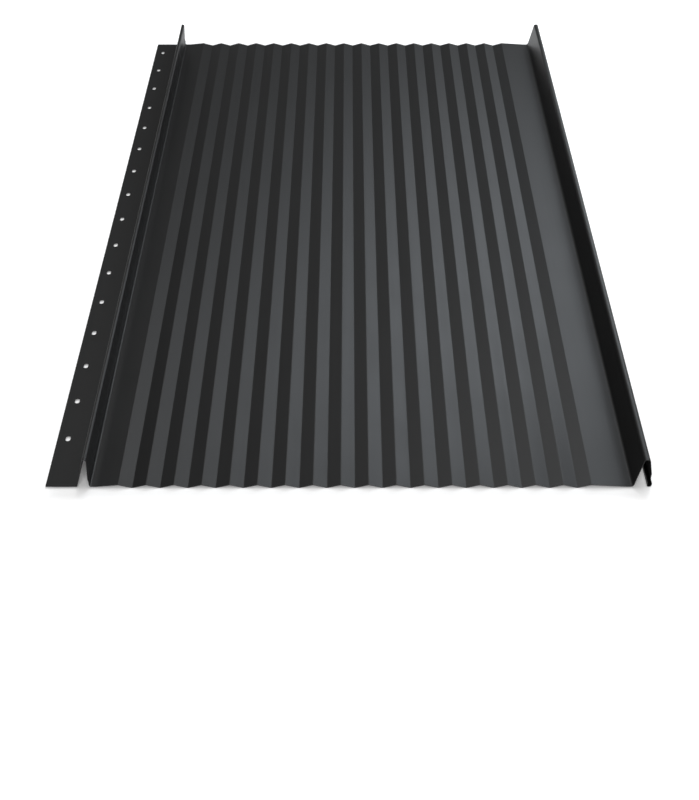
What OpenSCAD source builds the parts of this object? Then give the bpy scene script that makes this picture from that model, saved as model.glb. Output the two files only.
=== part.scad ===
// Corrugated roofing sheet with clip-on standing seams, roll-formed from one strip of coated steel.
// X runs across the sheet, Y along it and Z up. The sheet lies on its wave bottoms at Z = 0,
// with the middle of its outer box over the origin.

/* [Strip] */
// Thickness of the coated steel strip
sheet_t = 0.5; // [0.4:0.05:0.8]
// Length that the sheet is cut to
sheet_l = 1000; // [400:20:1400]

/* [Pan] */
// Width of roof that one sheet covers, from seam to seam
cover_w = 500; // [300:5:700]
// Distance from one wave bottom to the next
wave_pitch = 25; // [18:0.5:32]
// Rise of a wave between its fold lines
wave_rise = 3.5; // [2.6:0.1:6]
// Bend radius of the waves at mid thickness
wave_r = 2; // [1:0.25:4]
// Height of the pan's plain edges over the wave bottoms
edge_rise = 1.4; // [0.8:0.1:2.4]
// Width of the flat strip beside each seam, where a neighbour's clip comes down
edge_w = 6.5; // [6:0.25:9]
// Least width of the plain slope between that strip and the first wave
slope_w = 15; // [8:1:30]

/* [Seams] */
// Height of both seams over the pan's edges
seam_h = 30; // [24:0.5:40]
// Lean of the two walls that lap, from upright
seam_lean = 14; // [10:0.5:18]
// Flat left across the lower seam's top, between its two bends
seam_top_w = 1.4; // [0.1:0.05:3]
// Bend radius of the seams' tops at mid thickness
seam_top_r = 1.1; // [0.8:0.05:1.6]
// Bend radius of the other seam folds at mid thickness
fold_r = 1; // [0.8:0.1:1.2]
// Air left between two sheets where they lap
lap_gap = 0.15; // [0.1:0.05:0.3]

/* [Lower seam] */
// Width of the screw flange outside the lower seam
flange_w = 28.4; // [22:0.2:36]
// How far the clip wall draws in under the seam's top
clip_wall_in = 0.6; // [0.2:0.1:1.4]
// Height over the pan of the clip wall's narrowest line
clip_wall_h = 8.5; // [7:0.5:10]
// Step back out below that line
clip_wall_out = 0.7; // [0.3:0.1:1]
// Height over the pan where that step ends
clip_step_h = 5; // [4:0.25:5.5]

/* [Upper seam] */
// Splay of the spring leg, from upright
leg_splay = 9.5; // [6:0.5:11]
// Height over the pan of the spring leg's knee
knee_h = 14; // [12:0.5:16]
// How far the leg draws in below its knee
leg_pinch = 0.4; // [0:0.1:0.6]
// Height over the pan of the pinch
pinch_h = 8.5; // [7.5:0.5:10]
// How far the hem stands out past the pinch
hem_out = 1.8; // [1:0.1:2.4]
// Width of the open hem at mid thickness
hem_w = 4; // [3.6:0.1:4.4]
// Height over the pan of the hem's widest line
hem_wide_h = 3.4; // [3:0.2:4]
// Height of the hem's turned-up lip
lip_h = 4.5; // [3.5:0.25:6]
// Bend radius of the hem at mid thickness
hem_r = 1.3; // [1:0.1:1.4]

/* [Screw slots] */
// Width of a slot, across the flange
slot_w = 4.5; // [4:0.1:7]
// Length of a slot, along the flange
slot_l = 7.8; // [7.2:0.2:14]
// Distance from slot to slot
slot_pitch = 60; // [40:5:120]
// Distance of the slot row from the flange's edge
slot_edge = 9.9; // [6:0.1:12]
// Distance of the first slot from the near end of the sheet
slot_first = 71; // [20:0.5:100]
// Least distance of the last slot from the far end of the sheet
slot_end = 20; // [10:1:40]

/* [Hidden] */
// Largest turn of one facet in a bend, in degrees
bend_step = 10;
// Reach of the slot cutter past both faces of the flange
cut_past = 1;
$fn = 48;

// The waves, whose rounded bottoms rest at Z = 0
wave_slope = atan(2 * wave_rise / wave_pitch);
wave_low = sheet_t / 2 - wave_r * (1 / cos(wave_slope) - 1);
wave_high = wave_low + wave_rise;
pan_z = edge_rise + sheet_t / 2;
top_z = pan_z + seam_h;

// A lapping sheet rides up by its thickness and the air under it
lap_up = sheet_t + lap_gap;
lap_in = lap_up / cos(seam_lean) - lap_up * tan(seam_lean);
wall_run = seam_h * tan(seam_lean);

// Width between the fold lines of the lower seam's top, whose two bends take up the most of it
clip_lean = atan(clip_wall_in / (seam_h - clip_wall_h));
lower_top_w = seam_top_w + seam_top_r * (tan((90 - seam_lean) / 2) + tan((90 + clip_lean) / 2));

// Fold lines of the lower seam, from the flange inwards
lower_foot = lap_in - cover_w / 2;
flange_edge = lower_foot - flange_w;
lower_top = lower_foot + wall_run;
clip_top = lower_top + lower_top_w;
clip_narrow = clip_top - clip_wall_in;
clip_foot = clip_narrow + clip_wall_out;

// Fold lines of the upper seam, from the pan outwards
upper_foot = cover_w / 2;
upper_top = upper_foot + wall_run;
leg_top = upper_top + lower_top_w + 2 * lap_up;
knee = leg_top + (seam_h - knee_h) * tan(leg_splay);
pinch = knee - leg_pinch;
hem_wide = pinch + hem_out;
hem_in = hem_wide - hem_w;
hem_turn = hem_wide - fold_r / 2;

// As many whole waves as the pan takes, about the middle of the cover width
pan_left = clip_foot + edge_w;
pan_right = upper_foot - edge_w;
wave_n = floor(2 * (min(-pan_left, pan_right) - slope_w) / wave_pitch);
wave_end = wave_n * wave_pitch / 2;

// Middle of the sheet's outer box across its width
box_mid = (flange_edge + hem_wide + sheet_t / 2) / 2;

slot_n = 1 + floor((sheet_l - slot_first - slot_end) / slot_pitch);

// Fold lines of the section as [x, z, bend radius], from the flange to the lip
flange_and_lower_seam = [
    [flange_edge, pan_z, 0],
    [lower_foot, pan_z, fold_r],
    [lower_top, top_z, seam_top_r],
    [clip_top, top_z, seam_top_r],
    [clip_narrow, pan_z + clip_wall_h, fold_r],
    [clip_foot, pan_z + clip_step_h, fold_r],
    [clip_foot, pan_z, fold_r],
    [pan_left, pan_z, wave_r],
];
waves = [
    for (i = [0 : 2 * wave_n])
        [i * wave_pitch / 2 - wave_end, i % 2 == 0 ? wave_high : wave_low, wave_r]
];
upper_seam = [
    [pan_right, pan_z, wave_r],
    [upper_foot, pan_z, fold_r],
    [upper_top, top_z, seam_top_r],
    [leg_top, top_z, seam_top_r],
    [knee, pan_z + knee_h, fold_r],
    [pinch, pan_z + pinch_h, fold_r],
    [hem_wide, pan_z + hem_wide_h, fold_r],
    [hem_turn, pan_z, hem_r],
    [hem_in, pan_z, hem_r],
    [hem_in, pan_z + lip_h, 0],
];
folds = concat(flange_and_lower_seam, waves, upper_seam);

function point(fold) = [fold.x, fold.y];
function heading(a, b) = (point(b) - point(a)) / norm(point(b) - point(a));
function left_of(v) = [-v.y, v.x];
function turned(v, a) = [v.x * cos(a) - v.y * sin(a), v.x * sin(a) + v.y * cos(a)];

// One bend as an arc, moved to the left of the strip's mid line by d
function bend(a, b, c, d) =
    let (
        u = heading(a, b),
        v = heading(b, c),
        turn = atan2(u.x * v.y - u.y * v.x, u * v),
        r = b[2],
        start = point(b) - u * r * tan(abs(turn) / 2),
        centre = start + sign(turn) * r * left_of(u),
        facets = ceil(abs(turn) / bend_step)
    )
    [for (k = [0 : facets]) centre + (d - sign(turn) * r) * turned(left_of(u), turn * k / facets)];

// One face of the strip, from edge to edge, at a distance d from its mid line
function face(f, d) =
    let (last = len(f) - 1)
    [
        point(f[0]) + d * left_of(heading(f[0], f[1])),
        for (i = [1 : last - 1]) each bend(f[i - 1], f[i], f[i + 1], d),
        point(f[last]) + d * left_of(heading(f[last - 1], f[last])),
    ];

function reversed(list) = [for (i = [len(list) - 1 : -1 : 0]) list[i]];

module section() {
    polygon(concat(face(folds, sheet_t / 2), reversed(face(folds, -sheet_t / 2))));
}

module slot_cutter() {
    cut_h = sheet_t + 2 * cut_past;
    straight = slot_l - slot_w;
    for (end = [-1, 1])
        translate([0, end * straight / 2, 0])
            cylinder(d = slot_w, h = cut_h, center = true);
    cube([slot_w, straight, cut_h], center = true);
}

module corrugated_sheet() {
    color("#2a2b2e")
        translate([-box_mid, 0, 0])
            difference() {
                rotate([90, 0, 0])
                    linear_extrude(sheet_l, center = true)
                        section();
                for (i = [0 : slot_n - 1])
                    translate([flange_edge + slot_edge, slot_first + i * slot_pitch - sheet_l / 2, pan_z])
                        slot_cutter();
            }
}

corrugated_sheet();
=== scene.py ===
from math import atan, atan2, ceil, cos, degrees, floor, pi, radians, sin, tan

import bmesh
import bpy
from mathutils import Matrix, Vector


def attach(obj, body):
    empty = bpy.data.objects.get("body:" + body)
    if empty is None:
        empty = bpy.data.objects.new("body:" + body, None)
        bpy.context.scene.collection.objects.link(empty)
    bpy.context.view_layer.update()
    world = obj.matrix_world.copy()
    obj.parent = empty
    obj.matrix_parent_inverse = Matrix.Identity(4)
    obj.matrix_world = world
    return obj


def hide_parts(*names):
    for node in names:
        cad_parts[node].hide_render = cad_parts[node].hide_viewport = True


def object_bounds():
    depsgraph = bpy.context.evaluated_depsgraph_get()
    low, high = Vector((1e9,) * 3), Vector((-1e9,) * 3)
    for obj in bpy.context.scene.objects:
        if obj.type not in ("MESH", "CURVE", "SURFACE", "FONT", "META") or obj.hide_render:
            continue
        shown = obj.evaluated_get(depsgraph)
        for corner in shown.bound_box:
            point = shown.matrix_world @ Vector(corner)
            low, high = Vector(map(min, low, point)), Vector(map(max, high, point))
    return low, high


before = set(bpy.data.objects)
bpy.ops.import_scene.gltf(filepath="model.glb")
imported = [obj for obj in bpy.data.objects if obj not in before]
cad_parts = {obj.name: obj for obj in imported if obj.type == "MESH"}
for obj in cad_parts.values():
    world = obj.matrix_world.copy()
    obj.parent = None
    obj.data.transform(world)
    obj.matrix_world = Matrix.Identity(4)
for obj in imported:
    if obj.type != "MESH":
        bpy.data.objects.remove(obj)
cad_low, cad_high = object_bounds()

# The sheet is one strip of coated steel that a row of rollers folds into small waves and two clip-on seams.
# It is drawn here as it is folded: flat flange first, then fold line by fold line to the lip of the hem.
# Its sizes are in millimetres, with X from the middle of the cover width, and become metres at the end.
strip_t = 0.5
strip_l = 1000

# The pan with its waves, and the plain edges beside the seams
cover_w = 500
wave_pitch = 25
wave_rise = 3.5
wave_r = 2
edge_rise = 1.4
edge_w = 6.5
slope_w = 15

# Both seams, whose leaning walls lap over each other on a roof
seam_h = 30
seam_lean = radians(14)
seam_top_w = 1.4
seam_top_r = 1.1
fold_r = 1
lap_gap = 0.15

# The lower seam, between the screw flange and its own clip wall
flange_w = 28.4
clip_wall_in = 0.6
clip_wall_h = 8.5
clip_wall_out = 0.7
clip_step_h = 5

# The upper seam, with its spring leg and open hem
leg_splay = radians(9.5)
knee_h = 14
leg_pinch = 0.4
pinch_h = 8.5
hem_out = 1.8
hem_w = 4
hem_wide_h = 3.4
lip_h = 4.5
hem_r = 1.3

# Bends that look rounder in the photo than in the CAD solid, which has fold_r, seam_top_r or wave_r there
clip_top_r = 2.2
clip_foot_r = 2
cap_top_r = 2.4
cap_foot_r = 3
slope_r = 40

# The waves rest on their rounded bottoms. A lapping sheet rides up by its thickness and the air under it.
wave_slope = atan(2 * wave_rise / wave_pitch)
wave_low = strip_t / 2 - wave_r * (1 / cos(wave_slope) - 1)
wave_high = wave_low + wave_rise
pan_z = edge_rise + strip_t / 2
top_z = pan_z + seam_h
lap_up = strip_t + lap_gap
lap_in = lap_up / cos(seam_lean) - lap_up * tan(seam_lean)
wall_run = seam_h * tan(seam_lean)
clip_lean = atan(clip_wall_in / (seam_h - clip_wall_h))
top_bends_w = seam_top_r * (tan((pi / 2 - seam_lean) / 2) + tan((pi / 2 + clip_lean) / 2))
lower_top_w = seam_top_w + top_bends_w

lower_foot = lap_in - cover_w / 2
flange_edge = lower_foot - flange_w
lower_top = lower_foot + wall_run
clip_top = lower_top + lower_top_w
clip_narrow = clip_top - clip_wall_in
clip_foot = clip_narrow + clip_wall_out
pan_left = clip_foot + edge_w
upper_foot = cover_w / 2
pan_right = upper_foot - edge_w
upper_top = upper_foot + wall_run
leg_top = upper_top + lower_top_w + 2 * lap_up
knee = leg_top + (seam_h - knee_h) * tan(leg_splay)
pinch = knee - leg_pinch
hem_wide = pinch + hem_out
hem_in = hem_wide - hem_w
hem_turn = hem_wide - fold_r / 2
wave_n = floor(2 * (min(-pan_left, pan_right) - slope_w) / wave_pitch)
wave_end = wave_n * wave_pitch / 2
box_mid = (flange_edge + hem_wide + strip_t / 2) / 2

# Each fold line has its place across the strip, its height and its bend radius, at mid thickness.
fold_lines = [
    (flange_edge, pan_z, 0),
    (lower_foot, pan_z, fold_r),
    (lower_top, top_z, seam_top_r),
    (clip_top, top_z, clip_top_r),
    (clip_narrow, pan_z + clip_wall_h, fold_r),
    (clip_foot, pan_z + clip_step_h, fold_r),
    (clip_foot, pan_z, clip_foot_r),
    (pan_left, pan_z, slope_r),
]
for half_wave in range(2 * wave_n + 1):
    wave_z = wave_low if half_wave % 2 else wave_high
    fold_lines.append((half_wave * wave_pitch / 2 - wave_end, wave_z, wave_r))
fold_lines += [
    (pan_right, pan_z, slope_r),
    (upper_foot, pan_z, cap_foot_r),
    (upper_top, top_z, cap_top_r),
    (leg_top, top_z, cap_top_r),
    (knee, pan_z + knee_h, fold_r),
    (pinch, pan_z + pinch_h, fold_r),
    (hem_wide, pan_z + hem_wide_h, fold_r),
    (hem_turn, pan_z, hem_r),
    (hem_in, pan_z, hem_r),
    (hem_in, pan_z + lip_h, 0),
]

bpy.ops.object.select_all(action="DESELECT")
bpy.ops.mesh.primitive_plane_add(size=1)
sheet = bpy.context.object
sheet.name = "formed_sheet"
bpy.ops.object.mode_set(mode="EDIT")
bpy.ops.mesh.select_mode(type="EDGE")
bpy.ops.transform.resize(value=(flange_w, strip_l, 1))
bpy.ops.transform.translate(value=(flange_edge + flange_w / 2, 0, pan_z))


def select_line(piece, x, z):
    """Selects the edges that run along the strip at one fold line."""
    near = 0.001
    bpy.ops.mesh.select_all(action="DESELECT")
    drawn = bmesh.from_edit_mesh(piece.data)
    for edge in drawn.edges:
        if all(abs(v.co.x - x) < near and abs(v.co.z - z) < near for v in edge.verts):
            edge.select_set(True)
    bmesh.update_edit_mesh(piece.data)


select_line(sheet, lower_foot, pan_z)
for (x, z, _), (next_x, next_z, _) in zip(fold_lines[1:], fold_lines[2:]):
    step = (next_x - x, 0, next_z - z)
    bpy.ops.mesh.extrude_region_move(TRANSFORM_OT_translate={"value": step})

# Each fold is rounded to its bend radius, with the bevel profile at which its turn is a round arc.
# The middle of such an arc lies at the share arc_middle of the way from its chord to the fold line.
bend_step = 5
for before, fold, after in zip(fold_lines, fold_lines[1:], fold_lines[2:]):
    before_x, before_z, _ = before
    x, z, bend_r = fold
    after_x, after_z, _ = after
    heading_in = atan2(z - before_z, x - before_x)
    heading_out = atan2(after_z - z, after_x - x)
    turn = abs((heading_out - heading_in + pi) % (2 * pi) - pi)
    arc_middle = cos(turn / 2) / (1 + cos(turn / 2))
    select_line(sheet, x, z)
    bpy.ops.mesh.bevel(
        offset=bend_r * tan(turn / 2),
        offset_type="OFFSET",
        segments=ceil(degrees(turn) / bend_step),
        profile=((1 + arc_middle) / 2) ** 2,
        clamp_overlap=False,
    )

# Cross lines between the screw slots divide the strip, so that each slot is cut from a panel of its own.
slot_w = 4.5
slot_l = 7.8
slot_pitch = 60
slot_edge = 9.9
slot_first = 71
slot_end = 20
slot_n = 1 + floor((strip_l - slot_first - slot_end) / slot_pitch)
for i in range(slot_n):
    between_slots = slot_first + (i - 0.5) * slot_pitch - strip_l / 2
    bpy.ops.mesh.select_all(action="SELECT")
    bpy.ops.mesh.bisect(plane_co=(0, between_slots, 0), plane_no=(0, 1, 0))
bpy.ops.mesh.select_all(action="SELECT")
bpy.ops.mesh.normals_make_consistent(inside=False)
bpy.ops.object.mode_set(mode="OBJECT")

# No finish on the strip is quite even: soft clouds and, on the face, fine lines drift between two close
# colours and two roughnesses. At a drift of Low End the low ones are reached, at High End the high ones.
uneven_finish = bpy.data.node_groups.new("uneven_finish", "ShaderNodeTree")
for socket_name, way, kind in (
    ("Place", "INPUT", "NodeSocketVector"),
    ("Cloud Scale", "INPUT", "NodeSocketFloat"),
    ("Cloud Detail", "INPUT", "NodeSocketFloat"),
    ("Lines", "INPUT", "NodeSocketFloat"),
    ("Low End", "INPUT", "NodeSocketFloat"),
    ("High End", "INPUT", "NodeSocketFloat"),
    ("Low Colour", "INPUT", "NodeSocketColor"),
    ("High Colour", "INPUT", "NodeSocketColor"),
    ("Low Roughness", "INPUT", "NodeSocketFloat"),
    ("High Roughness", "INPUT", "NodeSocketFloat"),
    ("Colour", "OUTPUT", "NodeSocketColor"),
    ("Roughness", "OUTPUT", "NodeSocketFloat"),
):
    uneven_finish.interface.new_socket(socket_name, in_out=way, socket_type=kind)
nodes = uneven_finish.nodes
links = uneven_finish.links
given = nodes.new("NodeGroupInput")
result = nodes.new("NodeGroupOutput")
clouds = nodes.new("ShaderNodeTexNoise")
links.new(given.outputs["Place"], clouds.inputs["Vector"])
links.new(given.outputs["Cloud Scale"], clouds.inputs["Scale"])
links.new(given.outputs["Cloud Detail"], clouds.inputs["Detail"])
drift = nodes.new("ShaderNodeMath")
drift.operation = "ADD"
links.new(clouds.outputs["Fac"], drift.inputs[0])
links.new(given.outputs["Lines"], drift.inputs[1])
share = nodes.new("ShaderNodeMapRange")
links.new(drift.outputs["Value"], share.inputs["Value"])
links.new(given.outputs["Low End"], share.inputs["From Min"])
links.new(given.outputs["High End"], share.inputs["From Max"])
colour = nodes.new("ShaderNodeMix")
colour.data_type = "RGBA"
links.new(share.outputs["Result"], colour.inputs["Factor"])
links.new(given.outputs["Low Colour"], colour.inputs["A"])
links.new(given.outputs["High Colour"], colour.inputs["B"])
links.new(colour.outputs["Result"], result.inputs["Colour"])
roughness = nodes.new("ShaderNodeMapRange")
links.new(share.outputs["Result"], roughness.inputs["Value"])
links.new(given.outputs["Low Roughness"], roughness.inputs["To Min"])
links.new(given.outputs["High Roughness"], roughness.inputs["To Max"])
links.new(roughness.outputs["Result"], result.inputs["Roughness"])


def strip_finish(name, uneven_values):
    """Makes one finish of the strip, whose colour and, if it is given, roughness are uneven."""
    finish = bpy.data.materials.new(name)
    finish.use_nodes = True
    finish_nodes = finish.node_tree.nodes
    finish_links = finish.node_tree.links
    shader = finish_nodes["Principled BSDF"]
    place = finish_nodes.new("ShaderNodeTexCoord")
    place.name = "place"
    uneven = finish_nodes.new("ShaderNodeGroup")
    uneven.name = "uneven"
    uneven.node_tree = uneven_finish
    for socket_name, value in uneven_values.items():
        uneven.inputs[socket_name].default_value = value
    finish_links.new(place.outputs["Object"], uneven.inputs["Place"])
    finish_links.new(uneven.outputs["Colour"], shader.inputs["Base Color"])
    if "High Roughness" in uneven_values:
        finish_links.new(uneven.outputs["Roughness"], shader.inputs["Roughness"])
    sheet.data.materials.append(finish)
    return finish


# The face has a satin coat on zinc and steel: fine-grained, with faint roller lines along the strip.
coat = strip_finish("satin_dark_coat", {
    "Cloud Scale": 14,
    "Cloud Detail": 4,
    "Low End": 0.7,
    "High End": 1.3,
    "Low Colour": (0.0053, 0.0054, 0.0055, 1),
    "High Colour": (0.0067, 0.0068, 0.0069, 1),
    "Low Roughness": 0.43,
    "High Roughness": 0.47,
})
nodes = coat.node_tree.nodes
links = coat.node_tree.links
coat_shader = nodes["Principled BSDF"]
coat_shader.inputs["Specular IOR Level"].default_value = 0.25
place = nodes["place"].outputs["Object"]

roller_lines = nodes.new("ShaderNodeMapping")
roller_lines.inputs["Scale"].default_value = (420, 2.5, 420)
links.new(place, roller_lines.inputs["Vector"])
roller_noise = nodes.new("ShaderNodeTexNoise")
roller_noise.inputs["Scale"].default_value = 1
roller_noise.inputs["Detail"].default_value = 3
links.new(roller_lines.outputs["Vector"], roller_noise.inputs["Vector"])
links.new(roller_noise.outputs["Fac"], nodes["uneven"].inputs["Lines"])

grain_noise = nodes.new("ShaderNodeTexNoise")
grain_noise.inputs["Scale"].default_value = 2200
grain_noise.inputs["Detail"].default_value = 2
links.new(place, grain_noise.inputs["Vector"])
grain = nodes.new("ShaderNodeBump")
grain.inputs["Strength"].default_value = 0.15
grain.inputs["Distance"].default_value = 0.00002
links.new(grain_noise.outputs["Fac"], grain.inputs["Height"])
links.new(grain.outputs["Normal"], coat_shader.inputs["Normal"])

# Where the strip is sheared and punched, the steel core shows as a dull dark line between the two coats.
core = strip_finish("sheared_steel_core", {
    "Cloud Scale": 1500,
    "Cloud Detail": 2,
    "Low End": 0,
    "High End": 1,
    "Low Colour": (0.022, 0.022, 0.023, 1),
    "High Colour": (0.045, 0.045, 0.046, 1),
})
core_shader = core.node_tree.nodes["Principled BSDF"]
core_shader.inputs["Metallic"].default_value = 0.6
core_shader.inputs["Roughness"].default_value = 0.55

# The underside has only a thin backing coat, which is matt and a little darker than the face.
backing = strip_finish("matt_backing_coat", {
    "Cloud Scale": 60,
    "Cloud Detail": 5,
    "Low End": 0,
    "High End": 1,
    "Low Colour": (0.0040, 0.0041, 0.0043, 1),
    "High Colour": (0.0060, 0.0061, 0.0064, 1),
    "Low Roughness": 0.72,
    "High Roughness": 0.86,
})
backing_shader = backing.node_tree.nodes["Principled BSDF"]
backing_shader.inputs["Specular IOR Level"].default_value = 0.1

# The drawn line is the middle of the strip, so half of the thickness goes to each side of it.
thickness = sheet.modifiers.new("strip_thickness", "SOLIDIFY")
thickness.thickness = strip_t
thickness.offset = 0
thickness.use_even_offset = True
thickness.material_offset = sheet.data.materials.find(backing.name)
thickness.material_offset_rim = sheet.data.materials.find(core.name)
bpy.ops.object.modifier_apply(modifier=thickness.name)

# The screw slots are punched through the flange in one row. The punch is a round one whose halves are drawn
# apart: four doesn't divide the number of its sides, so no corner lies on the line between the halves.
punch_past = 1
punch_sides = 50
punch_straight = (slot_l - slot_w) / 2
bpy.ops.object.select_all(action="DESELECT")
bpy.ops.mesh.primitive_cylinder_add(
    vertices=punch_sides,
    radius=slot_w / 2,
    depth=strip_t + 2 * punch_past,
    location=(flange_edge + slot_edge, slot_first - strip_l / 2, pan_z),
)
punch = bpy.context.object
punch.data.materials.append(core)
bpy.ops.object.mode_set(mode="EDIT")
bpy.ops.mesh.select_mode(type="VERT")
for side in (-1, 1):
    bpy.ops.mesh.select_all(action="DESELECT")
    drawn = bmesh.from_edit_mesh(punch.data)
    for v in drawn.verts:
        v.select_set(v.co.y * side > 0)
    drawn.select_flush_mode()
    bmesh.update_edit_mesh(punch.data)
    bpy.ops.transform.translate(value=(0, side * punch_straight, 0))
bpy.ops.object.mode_set(mode="OBJECT")
punch_row = punch.modifiers.new("slot_row", "ARRAY")
punch_row.count = slot_n
punch_row.use_relative_offset = False
punch_row.use_constant_offset = True
punch_row.constant_offset_displace = (0, slot_pitch, 0)

bpy.ops.object.select_all(action="DESELECT")
bpy.context.view_layer.objects.active = sheet
sheet.select_set(True)
slots = sheet.modifiers.new("screw_slots", "BOOLEAN")
slots.operation = "DIFFERENCE"
slots.solver = "EXACT"
slots.material_mode = "TRANSFER"
slots.object = punch
bpy.ops.object.modifier_apply(modifier=slots.name)
bpy.data.objects.remove(punch)

# Shearing leaves its edges slightly rounded. The bends are shaded smooth, and the flats stay flat.
sheared_round = 0.05
sheared_turn = radians(60)
smooth_turn = radians(40)
sheared = sheet.modifiers.new("sheared_edges", "BEVEL")
sheared.width = sheared_round
sheared.segments = 2
sheared.limit_method = "ANGLE"
sheared.angle_limit = sheared_turn
sheared.use_clamp_overlap = False
bpy.ops.object.modifier_apply(modifier=sheared.name)
bpy.ops.object.shade_smooth_by_angle(angle=smooth_turn)
flats = sheet.modifiers.new("flats_stay_flat", "WEIGHTED_NORMAL")
flats.keep_sharp = True
bpy.ops.object.modifier_apply(modifier=flats.name)

# The sheet becomes metres, with the middle of its box over the origin.
mm = 0.001
sheet.scale = (mm, mm, mm)
sheet.location.x = -box_mid * mm
bpy.ops.object.transform_apply(location=True, rotation=True, scale=True)
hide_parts("corrugated_sheet")
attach(sheet, "root")

# The floor is a wide sheet of matt white paper, which lies flat under the sheet and holds nothing.
# It keeps the soft shadow close to the sheet, cast by the lamps and deepened by painted shade, and is plain
# white around it, where a faint glow lifts it that only the camera and reflections see. Far from the sheet
# it fades into the grey of the room.
floor_size = 240
floor_gap = 0.0001
bpy.ops.object.select_all(action="DESELECT")
bpy.ops.mesh.primitive_plane_add(size=floor_size, location=(0, 0, -floor_gap))
paper_floor = bpy.context.object
paper_floor.name = "paper_floor"
paper = bpy.data.materials.new("white_paper")
paper.use_nodes = True
paper_nodes = paper.node_tree.nodes
paper_links = paper.node_tree.links
paper_shader = paper_nodes["Principled BSDF"]
paper_shader.inputs["Base Color"].default_value = (0.88, 0.88, 0.88, 1)
paper_shader.inputs["Roughness"].default_value = 0.9
paper_shader.inputs["Specular IOR Level"].default_value = 0.1
paper_shader.inputs["Emission Color"].default_value = (1, 1, 1, 1)


def feed_paper(socket, term):
    """Gives a socket of the paper's nodes a link from another socket, or a plain number."""
    if isinstance(term, bpy.types.NodeSocket):
        paper_links.new(term, socket)
    else:
        socket.default_value = term


def paper_maths(operation, *terms):
    """Adds one step of arithmetic to the paper and returns its result."""
    step = paper_nodes.new("ShaderNodeMath")
    step.operation = operation
    for socket, term in zip(step.inputs, terms):
        feed_paper(socket, term)
    return step.outputs["Value"]


def paper_fade(distance, start, end, first_glow, last_glow):
    """Adds a smooth fade of the paper's glow between two distances and returns its result."""
    fade = paper_nodes.new("ShaderNodeMapRange")
    fade.interpolation_type = "SMOOTHSTEP"
    feed_paper(fade.inputs["Value"], distance)
    feed_paper(fade.inputs["From Min"], start)
    feed_paper(fade.inputs["From Max"], end)
    feed_paper(fade.inputs["To Min"], first_glow)
    feed_paper(fade.inputs["To Max"], last_glow)
    return fade.outputs["Result"]


# Painted shadow: the paper glows little in a box drawn under the sheet, which stops short of its long sides
# and reaches past its ends, and outside it the glow rises over shade_edge to the glow around.
shade_short_left = 0.0102
shade_short_right = 0.0162
shade_past_ends = 0.008
shade_left = cad_low[0] + shade_short_left
shade_right = cad_high[0] - shade_short_right
shade_end = cad_high[1] + shade_past_ends
shade_edge = 0.02
painted_shade_glow = 0.1
white_glow = 0.36
far_glow = 0.025
fade_start = 1.5
fade_end = 6

place = paper_nodes.new("ShaderNodeTexCoord").outputs["Object"]
place_axes = paper_nodes.new("ShaderNodeSeparateXYZ")
paper_links.new(place, place_axes.inputs["Vector"])
off_middle = paper_maths("SUBTRACT", place_axes.outputs["X"], (shade_left + shade_right) / 2)
past_side = paper_maths("SUBTRACT", paper_maths("ABSOLUTE", off_middle), (shade_right - shade_left) / 2)
past_end = paper_maths("SUBTRACT", paper_maths("ABSOLUTE", place_axes.outputs["Y"]), shade_end)
past_painted_shade = paper_maths("MAXIMUM", past_side, past_end)
from_sheet = paper_nodes.new("ShaderNodeVectorMath")
from_sheet.operation = "LENGTH"
paper_links.new(place, from_sheet.inputs[0])
glow_around = paper_fade(from_sheet.outputs["Value"], fade_start, fade_end, white_glow, far_glow)
paper_glow = paper_fade(past_painted_shade, 0, shade_edge, painted_shade_glow, glow_around)

rays = paper_nodes.new("ShaderNodeLightPath").outputs
seen = paper_maths("MAXIMUM", rays["Is Camera Ray"], rays["Is Glossy Ray"])
seen = paper_maths("MAXIMUM", seen, rays["Is Transmission Ray"])
paper_links.new(paper_maths("MULTIPLY", seen, paper_glow), paper_shader.inputs["Emission Strength"])
paper_floor.data.materials.append(paper)

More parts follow.
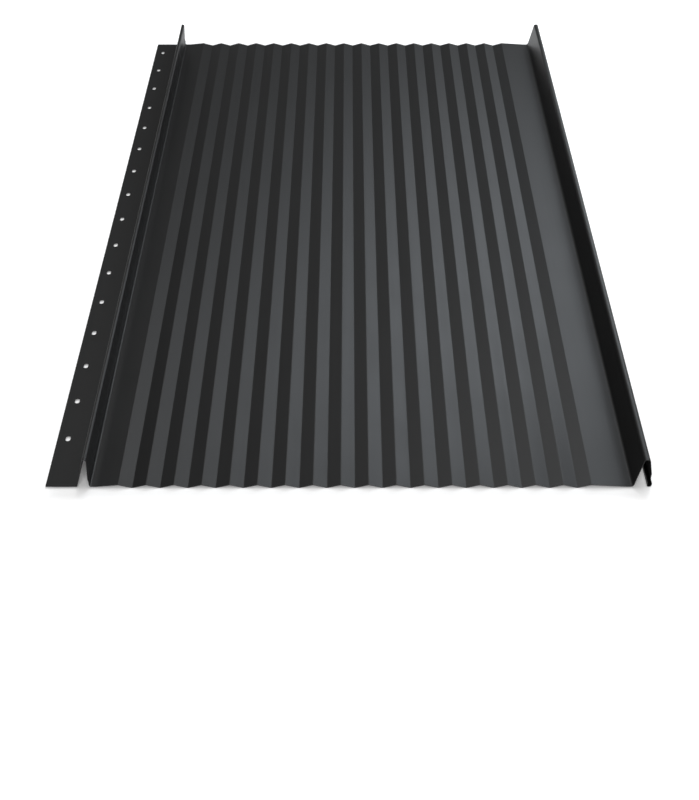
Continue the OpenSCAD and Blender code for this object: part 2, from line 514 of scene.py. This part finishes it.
# The light is a studio's: a wide soft box overhead and one in front, higher than the camera, for an even
# level, one small box high behind the sheet, and four boxes behind it on the right, three near and one far.
# The slightly cool reflection of those four is the soft sheen on the waves.
white_light = (1, 1, 1)
cool_light = (0.88, 0.94, 1)
near_box_distance = 1.3
near_box_size = 0.4

# Each square box has an azimuth, clockwise from straight behind, and an elevation in degrees, a distance
# and a size in metres, its watts and its colour. It faces the middle of the sheet.
soft_boxes = (
    ("top_soft_box", 0, 90, 3, 2, 29, white_light),
    ("front_soft_box", 180, 38, 2.6, 1, 24, white_light),
    ("back_high_soft_box", -10, 62, near_box_distance, near_box_size, 3.9, white_light),
    ("right_low_soft_box", 40, 28, near_box_distance, near_box_size, 2.3, cool_light),
    ("right_middle_soft_box", 25, 28, near_box_distance, near_box_size, 1, cool_light),
    ("right_high_soft_box", 25, 45, near_box_distance, near_box_size, 1.7, cool_light),
    ("right_far_soft_box", 30, 38, 4, 0.8, 17.5, cool_light),
)
for box_name, azimuth, elevation, distance, size, watts, light_colour in soft_boxes:
    away = radians(azimuth)
    up = radians(elevation)
    reach = distance * cos(up)
    box_place = (reach * sin(away), reach * cos(away), distance * sin(up))
    bpy.ops.object.light_add(type="AREA", location=box_place, rotation=(up - pi / 2, 0, -away))
    soft_box = bpy.context.object
    soft_box.name = box_name
    soft_box.data.shape = "SQUARE"
    soft_box.data.size = size
    soft_box.data.energy = watts
    soft_box.data.color = light_colour
    soft_box.visible_camera = False

# The room is plain grey. It gives a little light from all sides, so that no fold is quite black, and the
# far floor fades into it.
room_grey = 0.21
room = bpy.data.worlds.new("grey_room")
room.use_nodes = True
room.node_tree.nodes["Background"].inputs["Color"].default_value = (room_grey, room_grey, room_grey, 1)
bpy.context.scene.world = room

# The camera stands over the sheet's middle line, about a sheet's length in front of it. It looks down on the
# pan by 36 degrees, so that the waves run away from it and both seams show their ends.
camera_place = (0.00045, -1.56545, 0.867)
look_down = radians(35.838)
look_aside = radians(-0.023)
bpy.ops.object.camera_add(location=camera_place, rotation=(pi / 2 - look_down, 0, look_aside))
camera = bpy.context.object
camera.data.sensor_width = 36
camera.data.lens = 68.69
bpy.context.scene.camera = camera
bpy.context.scene.view_settings.view_transform = "Standard"
